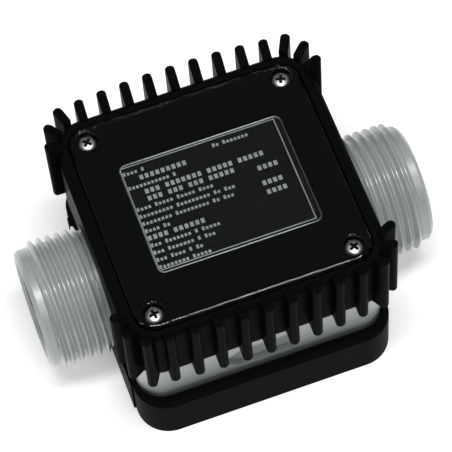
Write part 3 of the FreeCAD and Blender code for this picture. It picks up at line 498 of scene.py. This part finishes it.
@dataclass
class BodyMoulding:
    """The grey moulding with its two threaded ports and the shallow recess in its front."""

    # the 1 inch parallel pipe thread, whose crests and length are the port's own
    pitch: float = 2.309 * MM
    tooth_height: float = 1.45 * MM
    run: float = 0.5 * MM
    # the moulding is sunk under the roots, and the thread's sleeve goes deeper and further
    sunk: float = 0.22 * MM
    sleeve: float = 0.95 * MM
    overlap: float = 0.3 * MM
    steps: int = 72
    spare_turns: int = 3
    # one rounded tooth, as shares of the pitch and of the depth
    tooth: tuple = ((0.0, 0.0), (0.06, 0.022), (0.122, 0.118), (0.378, 0.882),
                    (0.44, 0.978), (0.5, 1.0), (0.56, 0.978), (0.622, 0.882),
                    (0.878, 0.118), (0.94, 0.022), (1.0, 0.0))
    # how far the helix is turned back, as a share of the pitch
    helix_start: float = 0.46
    # the recess in the front
    recess_left: float = -9.8 * MM
    recess_right: float = 7.8 * MM
    recess_half_height: float = 4.0 * MM
    recess_cut_x: float = 3.3 * MM
    recess_cut_z: float = 2.2 * MM
    recess_depth: float = 1.6 * MM
    edge: EdgeBreak = EdgeBreak(0.35 * MM)

    def __post_init__(self) -> None:
        """Take the port's radius and reach from the record, and the radii under it."""
        port = next(mount for mount in frame["record"]["mounts"]
                    if mount["name"] == "outlet_thread")
        middle, half = port["pos_m"][0], port["dims"]["length_mm"] * MM / 2
        self.thread_start, self.thread_end = middle - half, middle + half
        self.crest_radius = port["dims"]["r_mm"] * MM
        self.root_radius = self.crest_radius - self.tooth_height
        self.sunk_radius = self.root_radius - self.sunk
        self.sleeve_radius = self.sunk_radius - self.sleeve

    def build(self) -> None:
        """Make the moulding and its threads."""
        self.moulding()
        for side in Side:
            self.thread(side)

    def moulding(self) -> None:
        """The body solid with its plain port cylinders cut down under the threads."""
        bm = solid_copy("meter_body")
        for vert in bm.verts:
            radius = math.hypot(vert.co.y, vert.co.z - AXIS_HEIGHT)
            under_thread = self.thread_start - self.overlap < abs(vert.co.x)
            if under_thread and radius > (self.crest_radius + self.root_radius) / 2:
                scale = self.sunk_radius / radius
                vert.co.y *= scale
                vert.co.z = AXIS_HEIGHT + (vert.co.z - AXIS_HEIGHT) * scale
        subtract(bm, self.front_recess())
        new_piece("body_moulding", bm, FINISH.body, replaces=("meter_body",),
                  edge=self.edge)

    def radius_limit(self, x: float) -> float:
        """How far out the thread may reach, which rises from nothing at both ends.

        Args:
            x: The place along the thread.

        Returns:
            The largest radius there.
        """
        inside = min(x - self.thread_start, self.thread_end - x)
        share = min(1.0, max(0.0, inside / self.run))
        return self.sunk_radius + (self.crest_radius - self.sunk_radius) * share

    def thread(self, side: Side) -> None:
        """A parallel pipe thread with a run-in, a run-out and a right-hand helix.

        The helix is spun too long and cut off at both ends, and a sleeve closes it below.

        Args:
            side: The port that gets it.
        """
        bm = bmesh.new()
        start = self.thread_start - (1 + self.helix_start) * self.pitch
        length = self.thread_end - self.thread_start
        turns = math.ceil(length / self.pitch) + self.spare_turns
        geom = chain(bm, [(start + share * self.pitch, 0.0,
                           self.root_radius + rise * self.tooth_height)
                          for share, rise in self.tooth])
        bmesh.ops.spin(bm, geom=geom, cent=(0, 0, 0), axis=(1, 0, 0),
                       dvec=(self.pitch / self.steps, 0, 0), angle=math.tau * turns,
                       steps=self.steps * turns)
        bmesh.ops.remove_doubles(bm, verts=bm.verts, dist=WELD)
        ends = ((self.thread_start - self.overlap, -1), (self.thread_end + self.overlap, 1))
        for place, outward in ends:
            bmesh.ops.bisect_plane(bm, geom=bm.verts[:] + bm.edges[:] + bm.faces[:],
                                   dist=WELD / 10, plane_co=(place, 0, 0),
                                   plane_no=(outward, 0, 0), clear_outer=True)
        for vert in bm.verts:
            radius = math.hypot(vert.co.y, vert.co.z)
            scale = min(radius, self.radius_limit(vert.co.x)) / radius
            vert.co.y *= scale
            vert.co.z *= scale
        rims = []
        for place, outward in ends:
            rim = [edge for edge in bm.edges if edge.is_boundary
                   and abs(edge.verts[0].co.x - place) < 10 * WELD]
            inner = bmesh.ops.extrude_edge_only(bm, edges=rim)["geom"]
            for vert in verts_in(inner):
                scale = self.sleeve_radius / math.hypot(vert.co.y, vert.co.z)
                vert.co.y *= scale
                vert.co.z *= scale
            rims += [item for item in inner if isinstance(item, bmesh.types.BMEdge)]
        bmesh.ops.bridge_loops(bm, edges=[edge for edge in rims if edge.is_boundary])
        bmesh.ops.recalc_face_normals(bm, faces=bm.faces)
        turn = Matrix.Rotation(0.0 if side is Side.OUTLET else math.pi, 4, "Z")
        lift = Matrix.Translation((0, 0, AXIS_HEIGHT))
        bmesh.ops.transform(bm, matrix=lift @ turn, verts=bm.verts)
        new_piece(f"{side.name.lower()}_thread", bm, FINISH.thread)

    def front_recess(self) -> bmesh.types.BMesh:
        """The tool that sinks the recess, an oblong with two cut corners, into the front.

        Returns:
            The tool, in place.
        """
        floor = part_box("meter_body")[0].y + self.recess_depth
        left, right, half = self.recess_left, self.recess_right, self.recess_half_height
        shoulder, low = left + self.recess_cut_x, half - self.recess_cut_z
        outline = ((left, -low), (shoulder, -half), (right, -half), (right, half),
                   (shoulder, half), (left, low))
        tool = bmesh.new()
        face = tool.faces.new([tool.verts.new((x, floor, AXIS_HEIGHT + z))
                               for x, z in outline])
        grown = bmesh.ops.extrude_face_region(tool, geom=[face])["geom"]
        bmesh.ops.translate(tool, verts=verts_in(grown), vec=(0, -2 * self.recess_depth, 0))
        bmesh.ops.recalc_face_normals(tool, faces=tool.faces)
        return tool


# ---------------------------------------------------------------------------------------------
# Cover, front plate, label and screws
# ---------------------------------------------------------------------------------------------
@dataclass
class Cover:
    """The finned cover with its seals."""

    edge: EdgeBreak = EdgeBreak(0.3 * MM, over_angle=math.radians(40.0))

    def build(self) -> None:
        """Make the cover."""
        new_piece("cover_moulding", solid_copy("finned_cover"), FINISH.cover,
                  replaces=("finned_cover",), edge=self.edge)
        dress(("body_seal", "lens_seal"), FINISH.rubber)


@dataclass
class FrontPlate:
    """The clear plate, the black print behind it and the label in its window."""

    edge: EdgeBreak = EdgeBreak(0.3 * MM, segments=4)
    print_thick: float = 0.05 * MM
    print_lift: float = 0.01 * MM
    print_inset: float = 0.25 * MM
    print_corner: float = 5.0 * MM
    window_corner: float = 1.4 * MM

    def build(self) -> None:
        """Make the plate and its print."""
        new_piece("clear_front_plate", solid_copy("front_lens"), FINISH.plate,
                  replaces=("front_lens",), edge=self.edge)
        dress(("label_plate",), FINISH.label)
        self.print_sheet()

    def print_sheet(self) -> None:
        """The black print, with an open window as large as the label."""
        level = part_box("front_lens")[0].z + self.print_lift
        bm = bmesh.new()
        sheet = rounded_sheet(bm, "front_lens", level, self.print_corner, self.print_inset)
        window = rounded_sheet(bm, "label_plate", level, self.window_corner)
        loops = sheet.edges[:] + window.edges[:]
        bmesh.ops.delete(bm, geom=[sheet, window], context="FACES_ONLY")
        bmesh.ops.bridge_loops(bm, edges=loops)
        bmesh.ops.solidify(bm, geom=bm.faces[:], thickness=self.print_thick)
        bmesh.ops.recalc_face_normals(bm, faces=bm.faces)
        new_piece("black_print", bm, FINISH.backing)


@dataclass(frozen=True)
class TextRow:
    """One greeked row: the number of marks in each word, and its place on the label."""

    words: tuple[int, ...]
    left: float
    middle: float
    bold: bool = False


@dataclass
class LabelPrint:
    """The label's thin frame, its greeked rows and its bright cut edge."""

    # rows and marks
    row_pitch: float = 2.12 * MM
    first_row: float = 14.1 * MM
    margin: float = -20.05 * MM
    indent: float = 3.6 * MM
    indented_rows: int = 5
    mark_height: float = 1.05 * MM
    mark_advance: float = 0.98 * MM
    bold_height: float = 1.3 * MM
    bold_advance: float = 1.39 * MM
    mark_share: float = 0.66
    low_share: float = 0.74
    word_gap: float = 0.8
    ink_thick: float = 0.02 * MM
    # the printed frame
    frame_left: float = -20.4 * MM
    frame_right: float = 20.1 * MM
    frame_front: float = -14.45 * MM
    frame_back: float = 16.0 * MM
    line: float = 0.26 * MM
    # the cut edge
    cut_edge: float = 0.3 * MM
    ridge: float = 0.08 * MM
    corner: float = 2.0 * MM
    # the marks in each word of a row, and whether the row is bold
    left_rows: tuple = (((4, 1), False), ((9,), True), ((11, 1), False), ((3, 7, 5, 5), True),
                        ((3, 3, 3, 5), True), ((4, 5, 5, 4), False), ((9, 9, 2, 3), False),
                        ((8, 9, 2, 3), False), ((4, 2), False), ((4, 6), True),
                        ((3, 7, 1, 5), False), ((3, 7, 1, 3), False), ((3, 4, 1, 2), False),
                        ((8, 5), False))
    right_rows: tuple = (TextRow((2, 7), 3.2 * MM, 14.1 * MM),
                         TextRow((4,), 11.5 * MM, 3.9 * MM, bold=True),
                         TextRow((4,), 11.2 * MM, -0.5 * MM, bold=True),
                         TextRow((4,), 11.4 * MM, -3.2 * MM, bold=True))

    def build(self) -> None:
        """Print the label and cut its edge."""
        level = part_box("label_plate")[1].z
        bm = bmesh.new()
        self.frame_lines(bm, level)
        for row in self.rows():
            self.text_row(bm, row, level)
        new_piece("label_ink", bm, FINISH.ink)
        new_piece("label_cut_edge", self.edge_ring(level), FINISH.cut_edge)

    def edge_ring(self, level: float) -> bmesh.types.BMesh:
        """The ridge that the shears left round the label: bare metal with two slopes.

        Args:
            level: Height of the label's face.

        Returns:
            The ridge, in place.
        """
        bm = bmesh.new()
        face = rounded_sheet(bm, "label_plate", level, self.corner)
        for _ in ("outer slope", "inner slope"):
            bmesh.ops.inset_region(bm, faces=[face], thickness=self.cut_edge / 2,
                                   use_boundary=True, use_even_offset=True)
        crest = [vert for vert in bm.verts
                 if not vert.is_boundary and vert not in face.verts[:]]
        bmesh.ops.translate(bm, verts=crest, vec=(0, 0, self.ridge))
        bmesh.ops.delete(bm, geom=[face], context="FACES_ONLY")
        bmesh.ops.bridge_loops(bm, edges=[edge for edge in bm.edges if edge.is_boundary])
        bmesh.ops.recalc_face_normals(bm, faces=bm.faces)
        return bm

    def rows(self) -> Iterable[TextRow]:
        """List every greeked row: a column on the left, and a few short ones on the right.

        Returns:
            The rows.
        """
        for count, (words, bold) in enumerate(self.left_rows):
            indent = self.indent if bold and count < self.indented_rows else 0.0
            yield TextRow(words, self.margin + indent,
                          self.first_row - count * self.row_pitch, bold)
        yield from self.right_rows

    def text_row(self, bm: bmesh.types.BMesh, row: TextRow, level: float) -> None:
        """Marks for one row, each as tall as a capital or as a small letter.

        Args:
            bm: The print so far.
            row: The row.
            level: Height of the label's face.
        """
        height = self.bold_height if row.bold else self.mark_height
        advance = self.bold_advance if row.bold else self.mark_advance
        place = row.left
        for word in row.words:
            for mark in range(word):
                small = not row.bold and mark > 0
                tall = height * (self.low_share if small else 1.0)
                self.bar(bm, place, place + advance * self.mark_share,
                         row.middle - height / 2, row.middle - height / 2 + tall, level)
                place += advance
            place += advance * self.word_gap

    def frame_lines(self, bm: bmesh.types.BMesh, level: float) -> None:
        """The four thin lines round the label.

        Args:
            bm: The print so far.
            level: Height of the label's face.
        """
        left, right, front, back = (self.frame_left, self.frame_right, self.frame_front,
                                    self.frame_back)
        for x0, x1, y0, y1 in ((left, right, front, front + self.line),
                               (left, right, back - self.line, back),
                               (left, left + self.line, front + self.line, back - self.line),
                               (right - self.line, right, front + self.line,
                                back - self.line)):
            self.bar(bm, x0, x1, y0, y1, level)

    def bar(self, bm: bmesh.types.BMesh, x0: float, x1: float, y0: float, y1: float,
            level: float) -> None:
        """One printed bar that stands a film's thickness on the label.

        Args:
            bm: The print so far.
            x0: Its left end.
            x1: Its right end.
            y0: Its front.
            y1: Its back.
            level: Height of the label's face.
        """
        made = bmesh.ops.create_cube(bm, size=1.0)["verts"]
        bmesh.ops.scale(bm, verts=made, vec=(x1 - x0, y1 - y0, self.ink_thick))
        bmesh.ops.translate(bm, verts=made, vec=((x0 + x1) / 2, (y0 + y1) / 2,
                                                 level + self.ink_thick / 2))


@dataclass
class Screws:
    """Pan-head cross-recess screws in place of a set of plain ones."""

    node: str
    name: str
    finish: Finish
    slot: str
    head_radius: float
    head_height: float
    shank_radius: float
    upward: bool = False
    # shares of the head's height and radius
    crown: float = 0.62
    foot_radius: float = 0.95
    foot_height: float = 0.2
    recess_reach: float = 0.68
    recess_width: float = 0.42
    recess_depth: float = 0.80
    recess_foot: float = 0.75
    # how the recess's faces, which get the painted shade, are told from the crown's
    wall_slope: float = 0.6
    slack: float = 0.02
    # shares of the shank's radius
    point_length: float = 0.4
    point_radius: float = 0.6
    steps: int = 40
    crown_step: float = 15.0
    # how far each screw happens to be turned, in degrees
    turns: tuple[float, ...] = (12.0, 47.0, 28.0, 71.0)

    def build(self) -> None:
        """Make the screws of one set."""
        low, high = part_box(self.node)
        pattern = bmesh.new()
        self.screw(pattern, high.z - low.z)
        self.cut_recess(pattern)
        # the recess's walls and floor get the painted shade
        self.paint_recess_shade(pattern)
        model = bpy.data.meshes.new("screw_pattern")
        pattern.to_mesh(model)
        pattern.free()
        half_x = (high.x - low.x) / 2 - self.head_radius
        half_y = (high.y - low.y) / 2 - self.head_radius
        bm = bmesh.new()
        places = [(sx, sy) for sx in (-1, 1) for sy in (-1, 1)]
        for (sx, sy), turn in zip(places, self.turns):
            before = set(bm.verts)
            bm.from_mesh(model)
            new = [vert for vert in bm.verts if vert not in before]
            flip = Matrix.Rotation(math.pi if self.upward else 0.0, 4, "X")
            place = Matrix.Translation((sx * half_x, sy * half_y,
                                        low.z if self.upward else high.z))
            matrix = place @ flip @ Matrix.Rotation(math.radians(turn), 4, "Z")
            bmesh.ops.transform(bm, matrix=matrix, verts=new)
        bpy.data.meshes.remove(model)
        piece = new_piece(self.name, bm, self.finish, replaces=(self.node,))
        # the second finish is painted shade for the cross recesses
        piece.data.materials.append(FINISH.recess.material())

    def screw(self, bm: bmesh.types.BMesh, length: float) -> None:
        """One screw under the origin, its crown at the top.

        Args:
            bm: The mesh that gets it.
            length: From the crown to the end of the shank.
        """
        head, shank, under = self.head_radius, self.shank_radius, self.head_height
        crown = under * self.crown
        angles = [math.radians(self.crown_step * step)
                  for step in range(round(90.0 / self.crown_step) + 1)]
        profile = [(head * math.sin(angle), 0.0, -crown * (1 - math.cos(angle)))
                   for angle in angles]
        profile += [(head, 0.0, -under + (under - crown) * self.foot_height),
                    (head * self.foot_radius, 0.0, -under), (shank, 0.0, -under),
                    (shank, 0.0, -length + shank * self.point_length),
                    (shank * self.point_radius, 0.0, -length), (0.0, 0.0, -length)]
        turned(bm, profile, self.steps)

    def paint_recess_shade(self, bm: bmesh.types.BMesh) -> None:
        """Paint shade onto the walls and the floor of the recess with the second, dark finish.

        Args:
            bm: The screw.
        """
        reach = self.head_radius * self.recess_reach * (1 + self.slack)
        for face in bm.faces:
            near = all(math.hypot(vert.co.x, vert.co.y) < reach for vert in face.verts)
            depth = -face.calc_center_median().z / self.head_height
            is_wall = abs(face.normal.z) < self.wall_slope
            is_floor = depth > self.recess_depth * (1 - self.slack)
            if near and depth < 1 - self.slack and (is_wall or is_floor):
                face.material_index = 1

    def cut_recess(self, bm: bmesh.types.BMesh) -> None:
        """Cut the cross recess, which narrows downwards, into the crown.

        Args:
            bm: The screw.
        """
        cutter = bmesh.new()
        deep = self.head_height * self.recess_depth
        half = self.head_radius * self.recess_width / 2
        reach = self.head_radius * self.recess_reach
        arm = (Vector((reach, -half, deep)), Vector((reach, half, deep)),
               Vector((half, half, deep)))
        outline = [Matrix.Rotation(quarter * math.pi / 2, 3, "Z") @ point
                   for quarter in range(4) for point in arm]
        face = cutter.faces.new([cutter.verts.new(point) for point in outline])
        grown = bmesh.ops.extrude_face_region(cutter, geom=[face])["geom"]
        foot = verts_in(grown)
        bmesh.ops.translate(cutter, verts=foot, vec=(0, 0, -2 * deep))
        bmesh.ops.scale(cutter, verts=foot, vec=(self.recess_foot, self.recess_foot, 1.0))
        bmesh.ops.recalc_face_normals(cutter, faces=cutter.faces)
        subtract(bm, cutter)


# ---------------------------------------------------------------------------------------------
# Base, flow internals and dry compartment
# ---------------------------------------------------------------------------------------------
@dataclass
class Base:
    """The base tray."""

    edge: EdgeBreak = EdgeBreak(0.4 * MM)

    def build(self) -> None:
        """Make the tray."""
        new_piece("base_tray", solid_copy("base_cover"), FINISH.base,
                  replaces=("base_cover",), edge=self.edge)


@dataclass
class FlowParts:
    """Straighteners, rings, bushes and the turbine on its shaft."""

    edge: EdgeBreak = EdgeBreak(0.15 * MM)

    def build(self) -> None:
        """Make what the flow passes."""
        for side in Side:
            end = side.name.lower()
            new_piece(f"{end}_vanes", solid_copy(f"{end}_straightener"), FINISH.acetal,
                      replaces=(f"{end}_straightener",), edge=self.edge)
            new_piece(f"{end}_snap_ring", solid_copy(f"{end}_retaining_ring"), FINISH.spring,
                      replaces=(f"{end}_retaining_ring",), edge=self.edge)
            dress((f"{end}_bush",), FINISH.bush)
        new_piece("turbine", solid_copy("rotor"), FINISH.turbine, TURBINE,
                  ("rotor",), self.edge)
        dress(("rotor_shaft",), FINISH.shaft)
        dress(("rotor_magnets",), FINISH.ferrite)


@dataclass
class DryCompartment:
    """What the cover hides: board, reed switch, terminals, grommet and inserts."""

    def build(self) -> None:
        """Dress the solids, whose shapes are right."""
        dress(("circuit_board",), FINISH.board)
        dress(("board_screws",), FINISH.zinc)
        dress(("reed_switch",), FINISH.glass)
        dress(("terminal_block",), FINISH.terminal)
        dress(("cable_grommet",), FINISH.rubber)
        dress(("brass_inserts",), FINISH.brass)


# ---------------------------------------------------------------------------------------------
# Studio
# ---------------------------------------------------------------------------------------------
def aimed(place: tuple[float, float, float],
          target: tuple[float, float, float]) -> Matrix:
    """Aim a lamp or a camera.

    Args:
        place: Where it stands.
        target: What it looks at.

    Returns:
        Its matrix.
    """
    look = Vector(target) - Vector(place)
    return Matrix.Translation(place) @ look.to_track_quat("-Z", "Y").to_matrix().to_4x4()


@dataclass
class Lamp:
    """An oval soft box: its place and size in metres, and its watts."""

    name: str
    place: tuple[float, float, float]
    width: float
    depth: float
    power: float


@dataclass
class Studio:
    """Floor, lights and the camera, which is aimed at a point and rolled by some degrees."""

    camera_place: tuple = (-83.39 * MM, -314.70 * MM, 611.81 * MM)
    camera_aim: tuple = (2.370 * MM, 4.882 * MM, AXIS_HEIGHT)
    camera_roll: float = -5.386
    focal_length: float = 213.245
    sensor: float = 36.0
    camera_reach: float = 20.0
    floor_size: float = 8.0
    world_light: float = 0.10
    lamps: tuple = (Lamp("key_soft_box", (0.0, -0.10, 0.95), 0.75, 0.22, 7.0),
                    Lamp("left_soft_box", (-0.80, -0.20, 0.50), 0.35, 0.35, 1.2),
                    Lamp("front_soft_box", (0.13, -0.60, 0.90), 0.36, 0.25, 1.6))

    def build(self) -> None:
        """Set up the studio."""
        self.floor()
        self.lights()
        self.camera()

    def floor(self) -> None:
        """A plain pale floor under the meter."""
        bm = bmesh.new()
        bmesh.ops.create_grid(bm, x_segments=1, y_segments=1, size=self.floor_size / 2)
        mesh = bpy.data.meshes.new("studio_floor")
        bm.to_mesh(mesh)
        bm.free()
        floor = bpy.data.objects.new("studio_floor", mesh)
        bpy.context.scene.collection.objects.link(floor)
        mesh.materials.append(FINISH.floor.material())

    def lights(self) -> None:
        """An even white surround and the soft boxes."""
        scene = bpy.context.scene
        world = bpy.data.worlds.new("studio_surround")
        scene.world = world
        world.use_nodes = True
        surround = world.node_tree.nodes["Background"]
        surround.inputs["Color"].default_value = linear("#FFFFFF")
        surround.inputs["Strength"].default_value = self.world_light
        scene.view_settings.view_transform = "Standard"
        for lamp in self.lamps:
            light = bpy.data.lights.new(lamp.name, "AREA")
            light.shape = "ELLIPSE"
            light.size = lamp.width
            light.size_y = lamp.depth
            light.energy = lamp.power
            holder = bpy.data.objects.new(lamp.name, light)
            scene.collection.objects.link(holder)
            holder.matrix_world = aimed(lamp.place, (0, 0, AXIS_HEIGHT))

    def camera(self) -> None:
        """The camera over the front left, looking down on the cover."""
        camera = bpy.data.objects.new("camera", bpy.data.cameras.new("camera"))
        bpy.context.scene.collection.objects.link(camera)
        roll = Matrix.Rotation(math.radians(self.camera_roll), 4, "Z")
        camera.matrix_world = aimed(self.camera_place, self.camera_aim) @ roll
        camera.data.lens = self.focal_length
        camera.data.sensor_width = self.sensor
        camera.data.clip_end = self.camera_reach
        bpy.context.scene.camera = camera


def main() -> None:
    """Build every part of the meter and the studio."""
    logging.basicConfig(level=logging.INFO, format="%(name)s: %(message)s")
    parts = (BodyMoulding(), Cover(), FrontPlate(), LabelPrint(),
             Screws("lens_screws", "cover_screws", FINISH.screw, "screw_steel",
                    head_radius=2.15 * MM, head_height=1.5 * MM, shank_radius=1.25 * MM),
             Screws("base_screws", "tray_screws", FINISH.zinc, "screw_steel",
                    head_radius=2.75 * MM, head_height=1.4 * MM, shank_radius=1.4 * MM,
                    upward=True),
             Base(), FlowParts(), DryCompartment(), Studio())
    for part in parts:
        part.build()


if __name__ == "__main__":
    main()
